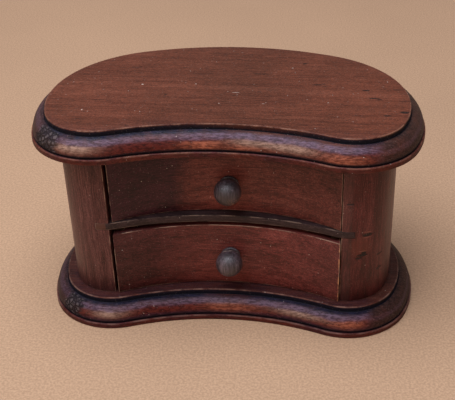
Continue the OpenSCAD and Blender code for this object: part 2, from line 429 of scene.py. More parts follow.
def close(g, tone, k, rough_extra=None):
    """Adds arris wear, dust, gloss and relief, and wires the shader."""
    wear = g.attr("wear")
    patch = g.span(g.noise(k["shifted"], 95, 3, 0.65), 0.40, 0.62)
    wear = g.math("MULTIPLY", g.math("MULTIPLY", wear, patch), k["wear_amount"])
    tone = g.mix(wear, tone, k["wear_colour"])
    v = g.voronoi(k["shifted"], 300)
    dot = g.span(v.outputs["Distance"], 0.11, 0.05)
    pick = g.span(g.xyz(v.outputs["Color"])[0], 0.82, 0.90)
    dust = g.math("MULTIPLY", g.math("MULTIPLY", dot, pick), k["specks"])
    v2 = g.voronoi(k["shifted"], 1150)
    dot2 = g.span(v2.outputs["Distance"], 0.32, 0.14)
    pick2 = g.span(g.xyz(v2.outputs["Color"])[1], 0.84, 0.92)
    fine = g.math("MULTIPLY", g.math("MULTIPLY", dot2, pick2), k["specks"] * 0.22)
    dust = g.math("MAXIMUM", dust, fine)
    tone = g.mix(dust, tone, (0.62, 0.53, 0.47))
    g.put(g.p.inputs["Base Color"], tone)
    r = g.math("ADD", k["rough"] - 0.09, g.math("MULTIPLY", k["blot"], 0.18))
    r = g.math("ADD", r, g.math("MULTIPLY", k["ends"], 0.14))
    if rough_extra is not None:
        r = g.math("ADD", r, rough_extra)
    r = g.math("ADD", r, g.math("MULTIPLY", dust, 0.3), clamp=True)
    g.put(g.p.inputs["Roughness"], r)
    g.p.inputs["Specular IOR Level"].default_value = k["spec"]
    g.p.inputs["Coat Weight"].default_value = k["coat"]
    g.p.inputs["Coat Roughness"].default_value = k["coat_rough"]
    h = g.math("ADD", g.math("MULTIPLY", k["fibre"], 0.6), g.math("MULTIPLY", g.noise(k["shifted"], 650, 3, 0.6), 0.5))
    h = g.math("SUBTRACT", h, g.math("MULTIPLY", k["pores"], 0.5))
    h = g.math("ADD", h, g.math("MULTIPLY", g.noise(k["shifted"], 70, 2, 0.5), 1.5))
    if "relief" in k:
        h = g.math("ADD", h, k["relief"])
    b = g.t.nodes.new("ShaderNodeBump")
    b.inputs["Strength"].default_value = k["bump"]
    b.inputs["Distance"].default_value = 0.0003
    g.put(b.inputs["Height"], h)
    g.put(g.p.inputs["Normal"], b.outputs[0])
    g.put(g.p.inputs["Coat Normal"], b.outputs[0])
    return g.m


def simple_wood(name, **kw):
    return close(*wood(name, **kw))


def board_wood(name, marks=(), flecks=(), **kw):
    """Wood of the moulded boards: blue-black stain in the hollows, rubbed-through patches partly painted as a warm
    reflection, painted highlights, a painted bluish sheen, flaked lacquer.
    """
    g, tone, k = wood(name, **kw)
    hollow = g.attr("cav")
    n1 = g.noise(k["shifted"], 120, 3, 0.65)
    n3 = g.noise(g.vmath("MULTIPLY", k["shifted"], (230, 900, 900)), 1, 3, 0.7)
    grain3 = g.span(n3, 0.36, 0.62)
    inky = g.math("MULTIPLY", hollow, g.span(n1, 0.25, 0.50, 0.80, 1.0))
    tone = g.mix(g.attr("deep"), tone, g.mix(grain3, (0.040, 0.006, 0.005), (0.112, 0.018, 0.013)))
    # orange patches low on the ovolo: rubbed-through finish, partly a painted warm reflection of the floor
    rub = g.math("MULTIPLY", g.attr("rub"), g.span(n1, 0.28, 0.56, 0.45, 1.0))
    tone = g.mix(rub, tone, g.mix(grain3, (0.16, 0.038, 0.020), (0.42, 0.130, 0.072)))
    # painted highlights: tan-grey patches where the ovolo catches the light
    pale = g.math("MULTIPLY", g.attr("pale"), g.span(n1, 0.25, 0.55, 0.6, 1.0))
    tone = g.mix(pale, tone, g.mix(grain3, (0.20, 0.118, 0.088), (0.44, 0.275, 0.205)))
    # painted sheen: a bluish-purple band on the ovolo's upper half, standing in for the reflection of the bluish
    # overhead light
    bloom = g.math("MULTIPLY", g.attr("bloom"), g.span(n1, 0.28, 0.60, 0.65, 1.0))
    tone = g.mix(bloom, tone, g.mix(grain3, (0.045, 0.023, 0.040), (0.152, 0.092, 0.142)))
    blue = g.mix(grain3, (0.003, 0.003, 0.010), (0.016, 0.014, 0.036))
    brown = g.mix(grain3, (0.013, 0.006, 0.005), (0.050, 0.022, 0.019))
    tone = g.mix(g.math("MULTIPLY", g.attr("ink"), g.span(n1, 0.30, 0.58, 0.78, 1.0)), tone, g.mix(g.attr("dull"), blue, brown))
    tone = g.mix(inky, tone, (0.006, 0.006, 0.012))
    field = g.span(k["pz"], 0.1480, 0.1486)
    if marks:
        tone = spots(g, tone, k, marks, (0.020, 0.009, 0.007), v="py", gate=field)
        tone = spots(g, tone, k, flecks, (0.50, 0.40, 0.34), v="py", gate=field, depth=0, ragged=0.6)
    # flaked, crackled lacquer
    crk = g.attr("crackle")
    cell = g.voronoi(g.vmath("ADD", k["shifted"], g.vmath("MULTIPLY", g.co.outputs["Object"], (0.02, 0.02, 0.02))), 310, "DISTANCE_TO_EDGE")
    line = g.span(cell.outputs["Distance"], 0.20, 0.05)
    flake = g.mix(g.span(g.noise(k["shifted"], 300, 2, 0.5), 0.40, 0.62), (0.022, 0.018, 0.021), (0.098, 0.080, 0.080))
    flake = g.mix(line, flake, (0.010, 0.009, 0.010))
    tone = g.mix(g.math("MULTIPLY", crk, 0.85), tone, flake)
    k["relief"] = g.math("MULTIPLY", g.math("MULTIPLY", crk, line), -3.0)
    return close(g, tone, k, g.math("ADD", g.math("MULTIPLY", inky, 0.15), g.math("MULTIPLY", crk, 0.25)))


# ------------------------------------------------------------------- boards
def board_profile():
    """(o, z, wear, hollow, place on the ovolo 0..1 or -1), from the underside's rim to the field's rim."""
    rows = [(-3.0, 0.0, 0, 0, -1), (-1.1, 0.0, 0, 0, -1)]
    for i in range(5):
        a = math.radians(-90 + 90 * i / 4)
        rows.append((-0.7 + 0.7 * math.cos(a), 0.7 + 0.7 * math.sin(a), 0.2, 0, -1))
    rows += [(0.0, 1.3, 0, 0, -1), (0.0, 2.2, 0, 0, -1), (0.0, 2.9, 0.2, 0, -1)]
    for i in range(5):
        a = math.radians(90 * i / 4)
        rows.append((-0.7 + 0.7 * math.cos(a), 3.1 + 0.7 * math.sin(a), 1.0 if 0 < i < 4 else 0.6, 0, -1))
    rows += [
        (-1.10, 3.80, 0.2, 0.5, -1),
        (-1.55, 3.74, 0, 1, -1),
        (-2.20, 3.80, 0, 1, -1),
        (-2.45, 4.10, 0, 1, -1),
        (-2.30, 4.50, 0, 1, -1),
        (-1.55, 4.66, 0, 1, -1),
        (-1.26, 4.80, 0, 0.7, -1),
    ]
    n = 22
    for i in range(n + 1):
        t = i / n
        a = math.radians(1.0 + 75.5 * t)
        rows.append((-11.8 + 10.6 * math.cos(a), 5.0 + 10.6 * math.sin(a), 0, 0, t))
    rows += [
        (-9.55, 15.10, 0, 0.8, -1),
        (-9.85, 14.95, 0, 1, -1),
        (-10.15, 15.10, 0, 1, -1),
        (-10.22, 15.60, 0, 1, -1),
        (-10.14, 16.40, 0, 0.9, -1),
        (-10.10, 17.30, 0, 0.75, -1),
        (-10.10, 18.10, 0.1, 0.4, -1),
    ]
    for i in range(1, 6):
        a = math.radians(90 * i / 5)
        rows.append((-10.85 + 0.75 * math.cos(a), 18.25 + 0.75 * math.sin(a), 1.0 if i < 5 else 0.3, 0, -1))
    rows += [(-11.2, 19.0, 0, 0, -1), (-12.4, 19.0, 0, 0, -1)]
    return rows


def board_mesh(name, z0, paint, seed):
    rows = board_profile()
    verts, faces = [], []
    att = {a: [] for a in ("wear", "cav", "ink", "rub", "pale", "crackle", "bloom", "dull", "deep")}

    def add(p, z, **v):
        verts.append((p[0] * MM, p[1] * MM, (z0 + z) * MM))
        for a in att:
            att[a].append(float(v.get(a, 0.0)))

    for o, z, wear, cav, ov in rows:
        ring = loop(o)
        for i in range(N):
            x, y = ring[i]
            dz = do = 0.0
            if ov >= 0:  # the hand-cut moulding wanders a little
                do = 0.14 * nz(x, y, z0, 0.035, seed) * math.sin(math.pi * ov)
            elif cav:
                do = -0.12 * (1 + nz(x, y, z0, 0.06, seed + 3)) * cav
            p = (x + DD[i, 0] * SS[i] * do, y + DD[i, 1] * SS[i] * do)
            v = paint(p[0], p[1], z, o, ov, wear, cav, i)
            add(p, z + dz, **v)
    for k in range(len(rows) - 1):
        for i in range(N):
            j = (i + 1) % N
            faces.append((k * N + i, k * N + j, (k + 1) * N + j, (k + 1) * N + i))
    # fields above and below, filled in lines from the front edge to the back
    m = 12
    for base, z, up in (((len(rows) - 1) * N, BOARD_T, True), (0, 0.0, False)):
        ring = np.array([verts[base + i][:2] for i in range(N)]) / MM
        grid = []
        for i in range(HALF + 1):
            b = i
            f = (N - i) % N
            if i in (0, HALF):
                grid.append([base + b] * (m + 1))
                continue
            col = [base + b]
            for q in range(1, m):
                p = ring[b] + (ring[f] - ring[b]) * q / m
                col.append(len(verts))
                add(p, z, **paint(p[0], p[1], z, -30, -1, 0, 0, -1))
            col.append(base + f)
            grid.append(col)
        for i in range(HALF):
            for q in range(m):
                quad = [grid[i][q], grid[i + 1][q], grid[i + 1][q + 1], grid[i][q + 1]]
                uniq = []
                for a in quad:
                    if a not in uniq:
                        uniq.append(a)
                if len(uniq) >= 3:
                    faces.append(tuple(uniq if up else uniq[::-1]))
    me = bpy.data.meshes.new(name)
    me.from_pydata(verts, [], faces)
    for a, vals in att.items():
        layer = me.attributes.new(a, "FLOAT", "POINT")
        layer.data.foreach_set("value", np.array(vals, np.float32))
    me.validate()
    finish_mesh(me, 40)
    return me


def gauss(x, c, w):
    return math.exp(-(((x - c) / w) ** 2))


def zone(u, a, b, c, d):
    return smooth(u, a, b) * (1 - smooth(u, c, d))


def paint_board(x, y, z, o, ov, wear, cav, seed, look):
    """Stain, rubbed patches partly painted as a warm reflection, painted highlights, a painted bluish sheen and flaked
    lacquer at a point of a moulded edge.
    """
    v = {"wear": wear * 0.8, "cav": cav}
    v["dull"] = min(1.0, smooth(x, 94, 104) + smooth(y, 5, 30) + 0.6 * smooth(-x, 103, 115))
    if o < -20:
        return v
    front = smooth(-y, -5, 28)  # 1 along the front half
    wob = nz(x, y, z, 0.045, seed)
    wob2 = nz(x, y, z * 3, 0.16, seed + 4)
    right = smooth(x, 93, 104)
    left = smooth(-x, 103, 114)
    if ov >= 0:
        up = ov + 0.05 * wob + 0.05 * wob2
        strength = 1.0
        for c, w, k in look["red_rim"]:
            strength -= k * gauss(x, c, w)
        ink = smooth(up, 0.70, 0.90) * strength + look["low_ink"] * (1 - smooth(up, 0.08, 0.24))
        # the darkening at the right end is partly painted shade on the side away from the light, partly darker end
        # grain; in the hollows it is stain
        ink = max(ink, 0.45 * (1 - front), 0.55 * left, right * (0.92 - 0.45 * zone(up, 0.26, 0.38, 0.50, 0.60)))
        v["ink"] = min(1.0, ink)
        amp = 0.9
        for c, w, k in look["dark"]:
            amp -= k * gauss(x, c, w)
        # painted sheen on the ovolo's upper half, where it faces the bluish overhead light
        v["bloom"] = amp * zone(up, 0.42, 0.58, 0.76, 0.92) * (0.10 + 0.90 * front) * (1 - right) * (1 - 0.3 * left) + 0.35 * right * front * zone(up, 0.26, 0.38, 0.50, 0.62)
        v["cav"] = 1 - smooth(ov, 0.015, 0.07)
        rub = pale = 0.0
        # orange patches low on the ovolo: rubbed finish, partly a painted warm reflection of the floor
        for c, w, top, k in look["rubs_and_reflections"]:
            rub += k * gauss(x, c, w) * (1 - smooth(up, top - 0.10, top + 0.10))
        # painted highlights: tan-grey patches on the ovolo's front
        for c, w, mid, half, k in look["painted_highlights"]:
            pale += k * gauss(x, c, w) * gauss(ov, mid, half)
        v["rub"] = min(1.0, rub) * front * (1 - 0.8 * right)
        v["pale"] = min(1.0, pale) * front
        v["deep"] = (1 - smooth(up, 0.46, 0.66)) * front * (1 - right) * (1 - left) * (1 - 0.6 * v["rub"]) * (1 - v["pale"])
        for cx, cy, w, k in look["flakes"]:
            d = math.hypot(x - cx, y - cy) / w + 0.35 * wob2 + 0.2 * wob
            v["crackle"] = k * (1 - smooth(d, 0.75, 1.25)) * (1 - smooth(abs(ov - 0.42), 0.42, 0.60))
    elif z > 15 and o < -9:
        c, w = look["red_step"]
        red = gauss(x, c, w) * front if w else 0.0
        v["ink"] = max(0.0, 1.0 - 0.85 * red - 0.5 * smooth(z, 18.2, 18.8) - 0.1 * wob)
        v["cav"] = min(1.0, cav * (1.0 - 0.65 * red * smooth(z, 15.4, 17.0)))
        if z > 18.35:
            v["ink"] *= 0.25
    elif z < 4:
        v["ink"] = max(0.0, 0.15 + 0.3 * wob)
        v["deep"] = 0.75 * front
        v["wear"] *= 0.7
    return v


TOP_LOOK = dict(
    rubs_and_reflections=((-12, 12, 0.42, 1.0), (16, 14, 0.26, 0.7), (78, 13, 0.40, 0.85)),
    painted_highlights=((-91, 14, 0.38, 0.24, 1.0), (22, 15, 0.40, 0.18, 0.75), (46, 13, 0.34, 0.20, 0.85)),
    dark=((-42, 17, 0.35),),
    red_rim=((28, 24, 0.75), (72, 18, 0.6)),
    low_ink=0.0,
    flakes=((-109, -65, 11, 1.0),),
    red_step=(18, 34),
)
BASE_LOOK = dict(
    rubs_and_reflections=((2, 16, 0.58, 0.75), (85, 12, 0.60, 0.75)),
    painted_highlights=((-80, 11, 0.42, 0.24, 0.9), (-2, 14, 0.64, 0.15, 0.50), (50, 17, 0.43, 0.18, 0.85)),
    dark=((-46, 17, 0.30), (85, 10, 0.1)),
    red_rim=((2, 14, 0.5),),
    low_ink=0.6,
    flakes=((-106, -66, 8, 1.0),),
    red_step=(0, 0),
)


def paint_top(x, y, z, o, ov, wear, cav, i):
    return paint_board(x, y, z, o, ov, wear, cav, 5.0, TOP_LOOK)


def paint_base(x, y, z, o, ov, wear, cav, i):
    v = paint_board(x, y, z, o, ov, wear, cav, 9.0, BASE_LOOK)
    if z >= BOARD_T - 0.01:
        v["ink"] = 0.35
    return v


top_mat = board_wood(
    "top_board_wood",
    marks=[
        (48.3, 40.8, 2.2, 0.95, 0.95),
        (58.0, 6.7, 3.2, 0.85, 0.95),
        (62.5, 8.2, 1.6, 0.80, 0.75),
        (90.7, -0.2, 3.0, 1.04, 1.00),
        (95.9, -12.1, 3.8, 0.95, 1.00),
        (99.5, -13.6, 2.0, 0.80, 0.95),
        (103.9, -36.3, 3.0, 1.14, 0.85),
        (115.0, -31.1, 3.4, 1.71, 1.00),
        (112.0, 2.0, 4.0, 0.80, 0.75),
        (-70.0, 28.0, 5.0, 0.80, 0.65),
        (-42.0, -14.0, 1.0, 0.95, 0.75),
        (20.0, 22.0, 7.0, 0.80, 0.65),
    ],
    flecks=[
        (-60.2, 0.6, 0.75, 0.75, 1.0),
        (-92.2, -39.3, 0.5, 0.9, 0.9),
        (-24.1, 3.4, 0.6, 0.5, 0.8),
        (4.3, -8.4, 2.8, 0.35, 0.7),
        (40.0, 33.0, 0.6, 0.5, 0.8),
        (66.0, -20.0, 0.5, 0.5, 0.8),
        (-5.0, -25.0, 0.5, 0.5, 0.8),
        (24.0, -24.0, 1.2, 0.3, 0.6),
    ],
    dark=(0.068, 0.018, 0.010),
    mid=(0.122, 0.034, 0.018),
    light=(0.172, 0.054, 0.031),
    seed=1.3,
    contrast=1.05,
    rough=0.46,
    coat=0.03,
    spec=0.16,
    bump=0.8,
    wear_colour=(0.30, 0.14, 0.09),
    wear_amount=0.75,
    # painted light and shade: the top field darker in the middle and lighter towards both ends
    xramp=[(-130, (1.05, 1.05, 1.05)), (-70, (1.02, 1.0, 1.0)), (0, (0.86, 0.88, 0.88)), (60, (1.02, 1.0, 0.98)), (130, (1.06, 1.0, 0.96))],
)
base_mat = board_wood(
    "base_board_wood",
    dark=(0.040, 0.012, 0.009),
    mid=(0.088, 0.024, 0.016),
    light=(0.145, 0.046, 0.028),
    seed=4.1,
    contrast=1.25,
    rough=0.44,
    coat=0.03,
    spec=0.11,
    bump=0.85,
    wear_colour=(0.26, 0.15, 0.12),
    wear_amount=0.8,
)

top = make("top_board_moulded", board_mesh("top_board_moulded", TOP_Z, paint_top, 2.0), top_mat, "carcass", ["top_board"])

base_me = board_mesh("base_board_moulded", 0.0, paint_base, 7.0)
holes = []
for sx in (-95, 95):
    for sy in (-32, 20):
        holes.append(rod_mesh((sx, sy), "z", 4.15, -1.0, 1.02))
base_me = cut(base_me, holes)
finish_mesh(base_me, 40)
base = make("base_board_moulded", base_me, base_mat, "carcass", ["base_board"])

# --------------------------------------------------------------- end blocks
IN = 17.0
r_b, r_e, r_l, r_f = R_B - IN, R_E - IN, R_L - IN, R_F + IN
BACK_T = 12.0
HX, HOUS = 77.5, 86.5


def on_circle_y(c, r, x, up=True):
    h = math.sqrt(max(0.0, r * r - (x - c[0]) ** 2))
    return c[1] + (h if up else -h)


def post_plan():
    """Right-hand block, counter-clockwise from the front corner of the opening."""
    y_front = on_circle_y(F, r_f, HX) if HX < F[0] + r_f * math.cos(math.radians(A_UP)) else None
    a_lobe0 = math.degrees(math.atan2(on_circle_y(L, r_l, HX, False) - L[1], HX - L[0]))
    pts = []
    a0 = A_DN - 90
    if a_lobe0 > a0:  # the opening's corner already lies on the lobe
        a0 = a_lobe0
    else:
        pts += [(HX, y_front)]
    pts += arc(L, r_l, a0, A_DN, 1.3)
    a_end = math.degrees(math.acos((HOUS - E[0]) / r_e))
    pts += arc(E, r_e, A_DN, a_end, 1.6)[1:]
    # down the rebate's shoulder to the inner face of the back, and along it to the opening
    ri = r_e - BACK_T
    y1 = on_circle_y(E, ri, HOUS)
    pts.append((HOUS, y1))
    a1 = math.degrees(math.atan2(y1 - E[1], HOUS - E[0]))
    a2 = math.degrees(math.acos((HX - E[0]) / ri))
    pts += arc(E, ri, a1, a2, 1.6)[1:]
    return pts


PLAN_R = post_plan()


def post_mesh(name, left):
    pts = PLAN_R if not left else [flip(p) for p in PLAN_R][::-1]
    me = prism_mesh(name, pts, BOARD_T, TOP_Z, bevel=0.45, seg=2, rows=1)
    lo, hi = (-HOUS, -HX + 5) if left else (HX - 5, HOUS)
    lo, hi = (-HOUS, -HX + 2) if left else (HX - 2, HOUS)
    slot_me = prism_mesh("slot", [(lo, -90), (hi, -90), (hi, 90), (lo, 90)], 70.8, 76.0, bevel=0)
    me = cut(me, [slot_me])
    finish_mesh(me, 30)
    return me


def post_material(name, seed, left):
    g, tone, k = wood(
        name,
        axis="Z",
        dark=(0.040, 0.011, 0.008),
        # the left block gets lighter tones and the right block darker ones: painted light on the left, painted shade on
        # the right
        mid=(0.102, 0.033, 0.031) if left else (0.086, 0.016, 0.015),
        light=(0.188, 0.074, 0.066) if left else (0.158, 0.039, 0.035),
        seed=seed,
        contrast=1.15,
        rough=0.43,
        end_amount=0.3,
        tilt=0.02 if left else -0.03,
        mottle=0.35,
        # painted shade: darker at the foot by the base board and at the head under the top board's overhang
        zramp=[(19, (0.55, 0.5, 0.55)), (32, (1.0, 1.0, 1.0)), (108, (1.0, 1.0, 1.0)), (130, (0.75, 0.72, 0.75))],
    )
    if not left:
        # two dark knots and a few bruises on the front of the block
        front = g.span(k["py"], -0.020, -0.030)
        tone = spots(g, tone, k, [(90.0, 63.0, 8.0, 9.0, 0.45)], (0.150, 0.036, 0.022), gate=front, depth=0, ragged=1.0)
        tone = spots(
            g,
            tone,
            k,
            [
                (94.9, 72.6, 3.8, 1.4, 0.95),
                (91.6, 56.8, 3.8, 1.3, 1.0),
                (89.4, 54.6, 2.4, 1.1, 0.9),
                (92.6, 58.6, 1.8, 1.0, 0.95),
                (103.4, 53.5, 2.2, 1.0, 0.7),
                (103.4, 41.5, 2.2, 1.3, 0.75),
                (82.6, 97.5, 2.6, 0.8, 0.85),
                (83.0, 94.8, 1.2, 0.4, 0.45),
            ],
            (0.010, 0.005, 0.005),
            gate=front,
        )
        tone = spots(g, tone, k, [(94.9, 74.6, 3.0, 0.5, 0.5), (91.8, 59.9, 3.0, 0.5, 0.5), (95.0, 70.6, 3.2, 0.45, 0.4)], (0.26, 0.105, 0.070), gate=front, depth=0)
        strip = g.math("MULTIPLY", g.span(k["px"], 0.0850, 0.0835), front)
        tone = g.mix(g.math("MULTIPLY", strip, 0.25), tone, g.mix(k["streak"], (0.030, 0.018, 0.017), (0.110, 0.070, 0.062)))
    return close(g, tone, k)


left_post = make("left_end_block", post_mesh("left_end_block", True), post_material("left_end_wood", 8.2, True), "carcass", ["left_post"])
right_post = make("right_end_block", post_mesh("right_end_block", False), post_material("right_end_wood", 3.7, False), "carcass", ["right_post"])


# --------------------------------------------------------------- back panel
def back_plan():
    def side(o_in, step):
        rb, re_ = r_b - o_in, r_e - o_in
        a_end = math.degrees(math.acos((HOUS - E[0]) / re_))
        right = arc(E, re_, a_end, A_UP, step)
        back = arc(B, rb, A_UP, 180 - A_UP, step)
        left = [flip(p) for p in right[::-1]]
        return right[:-1] + back + left[1:]

    outer = side(0.0, 2.0)
    inner = side(BACK_T, 2.0)
    return outer + inner[::-1]


back_mat = simple_wood(
    "back_panel_wood",
    dark=(0.036, 0.015, 0.011),
    mid=(0.085, 0.031, 0.021),
    light=(0.140, 0.056, 0.037),
    seed=6.6,
    rough=0.47,
    contrast=1.1,
    # painted shade: darker at the foot by the base board and at the head under the top board's overhang
    zramp=[(19, (0.7, 0.7, 0.75)), (32, (1.0, 1.0, 1.0)), (112, (1.0, 1.0, 1.0)), (130, (0.72, 0.72, 0.78))],
    end_amount=0.15,
)
back_me = prism_mesh("bent_back", back_plan(), BOARD_T, TOP_Z, bevel=0.3)
finish_mesh(back_me, 30)
back = make("bent_back", back_me, back_mat, "carcass", ["back_panel"])


# ----------------------------------------------------------- drawer divider
def divider_plan():
    """Front edge to the body's outline, rear edge to the inner face of the back."""
    front_right = arc(L, r_l, A_DN - 90, math.degrees(math.atan2(on_circle_y(L, r_l, HOUS, False) - L[1], HOUS - L[0])), 1.2)
    front = arc(F, r_f, 180 - A_UP, A_UP, 2.0)
    front_left = [flip(p) for p in front_right[::-1]]
    line = front_left + front[1:-1] + front_right
    ri_e, ri_b = r_e - BACK_T, r_b - BACK_T
    a_end = math.degrees(math.acos((HOUS - E[0]) / ri_e))
    right = arc(E, ri_e, a_end, A_UP, 2.0)
    rear = arc(B, ri_b, A_UP, 180 - A_UP, 2.0)
    rear_line = right[:-1] + rear + [flip(p) for p in right[::-1]][1:]
    return line + rear_line


div_me = prism_mesh("divider_shelf", divider_plan(), 70.8, 76.0, bevel=0.5)
finish_mesh(div_me, 30)
g, tone, k = wood(
    "divider_wood",
    dark=(0.013, 0.006, 0.006),
    mid=(0.031, 0.015, 0.017),
    light=(0.066, 0.036, 0.038),
    seed=9.4,
    rough=0.5,
    contrast=1.1,
    end_amount=0.1,
    specks=0.5,
    wear_colour=(0.27, 0.19, 0.15),
    wear_amount=0.7,
)
# the housed left end is filled and stained to match the block
fill = g.span(k["px"], -0.0790, -0.0800)
tone = g.mix(g.math("MULTIPLY", fill, 0.8), tone, g.mix(k["streak"], (0.07, 0.026, 0.019), (0.16, 0.062, 0.042)))
div = make("divider_shelf", div_me, close(g, tone, k), "carcass", ["drawer_divider"])

# ------------------------------------------------------------------ drawers
PLAY_L, PLAY_R, PLAY_Z = 2.4, 0.5, 0.5
DX0, DX1 = -HX + PLAY_L, HX - PLAY_R
FRONT_T, SIDE_T, REBATE, GROOVE, BOT_UP, BOT_T = 12.0, 6.0, 7.0, 3.0, 3.2, 3.0
FRONT_MID = F[1] + r_f
KNOB_X = 1.9
DRAWERS = {
    "lower": dict(z0=BOARD_T + PLAY_Z, h=47.9, r=172.0, y=FRONT_MID + 1.3, kz=43.2),
    "upper": dict(z0=76.0 + PLAY_Z, h=52.6, r=151.9, y=FRONT_MID + 6.1, kz=97.4),
}


def face_y(x, r, y):
    return y - r + math.sqrt(r * r - x * x)


def front_plan(r, y):
    n = 90
    face = [(DX0 + (DX1 - DX0) * i / n, face_y(DX0 + (DX1 - DX0) * i / n, r, y)) for i in range(n + 1)]
    ro = r + FRONT_T
    xr, xl = DX1 - SIDE_T, DX0 + SIDE_T
    y_r = face_y(DX1, r, y) + REBATE
    y_l = face_y(DX0, r, y) + REBATE
    inner = [(xl + (xr - xl) * i / n, y - r + math.sqrt(ro * ro - (xl + (xr - xl) * i / n) ** 2)) for i in range(n + 1)]
    pts = face + [(DX1, y_r), (xr, y_r)] + inner[::-1] + [(xl, y_l), (DX0, y_l)]
    return pts


def groove_cutter(r, y, z0):
    n = 60
    a, b = DX0 + SIDE_T - GROOVE, DX1 - SIDE_T + GROOVE
    ri = r + FRONT_T - GROOVE
    line = [(a + (b - a) * i / n, y - r + math.sqrt(ri * ri - (a + (b - a) * i / n) ** 2)) for i in range(n + 1)]
    pts = line + [(b, y + 20), (a, y + 20)]
    return prism_mesh("groove", pts, z0 + BOT_UP, z0 + BOT_UP + BOT_T, bevel=0)


front_mats = {
    "upper": dict(
        dark=(0.046, 0.011, 0.008),
        mid=(0.120, 0.027, 0.022),
        light=(0.195, 0.056, 0.044),
        seed=5.5,
        tilt=0.02,
        # painted shade: the upper front darker and bluer towards its left end, lighter towards the middle
        xramp=[
            (-78, (0.38, 0.30, 0.72)),
            (-35, (0.34, 0.26, 0.54)),
            (-21, (1.15, 1.10, 1.12)),
            (0, (1.30, 1.20, 1.15)),
            (30, (1.0, 0.95, 0.95)),
            (78, (0.90, 0.88, 0.92)),
        ],
    ),
    "lower": dict(
        dark=(0.050, 0.012, 0.008),
        mid=(0.123, 0.028, 0.023),
        light=(0.198, 0.056, 0.045),
        seed=2.9,
        tilt=-0.035,
        xramp=[(-78, (0.50, 0.48, 0.58)), (-50, (0.55, 0.46, 0.54)), (-14, (1.15, 1.0, 1.0)), (40, (1.25, 1.1, 1.15)), (78, (1.0, 0.95, 1.05))],
    ),
}
